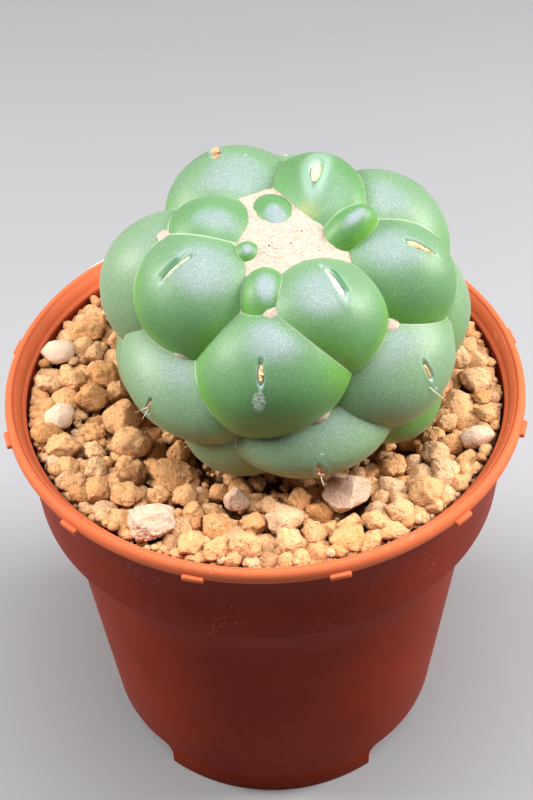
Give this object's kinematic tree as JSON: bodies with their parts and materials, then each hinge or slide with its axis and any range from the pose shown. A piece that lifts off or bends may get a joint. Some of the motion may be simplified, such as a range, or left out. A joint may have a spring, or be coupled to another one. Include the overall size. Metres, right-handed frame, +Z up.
{
  "type": "potted coryphantha",
  "caption": "Smooth, spineless cactus with bulging tubercles in a spiral round a woolly crown, growing in baked-clay grit in a round moulded plastic pot.",
  "frame": {"origin": "middle of the pot's foot, on the surface that it stands on", "axes": "+Z up along the pot's axis; the picture's camera looks from -Y"},
  "size_m": [0.105, 0.105, 0.1371],
  "materials": {
    "pot_plastic": "satin, moulded",
    "baked_clay": "rough, pitted",
    "cactus_skin": "satin, finely speckled",
    "wool": "felted",
    "areole_wool": "felted",
    "pumice": "rough"
  },
  "bodies": {
    "root": {"pot": "pot_plastic", "grit_bed": "baked_clay", "plant": "cactus_skin", "crown_wool": "wool", "axil_wool_01": "wool", "axil_wool_02": "wool", "axil_wool_03": "wool", "axil_wool_04": "wool", "axil_wool_05": "wool", "axil_wool_06": "wool", "axil_wool_07": "wool", "axil_wool_08": "wool", "axil_wool_09": "wool", "axil_wool_10": "wool", "areole_wool_01": "areole_wool", "areole_wool_02": "areole_wool", "areole_wool_03": "areole_wool", "areole_wool_04": "areole_wool", "areole_wool_05": "areole_wool", "areole_wool_06": "areole_wool", "areole_wool_07": "areole_wool", "areole_wool_08": "areole_wool", "areole_wool_09": "areole_wool", "areole_wool_10": "areole_wool", "areole_wool_11": "areole_wool", "areole_wool_12": "areole_wool", "areole_wool_13": "areole_wool", "areole_wool_14": "areole_wool", "areole_wool_15": "areole_wool", "pumice_1": "pumice", "pumice_2": "pumice", "pumice_3": "pumice", "pumice_4": "pumice", "pumice_5": "pumice", "pumice_6": "pumice", "pumice_7": "pumice"}
  },
  "joints": []
}
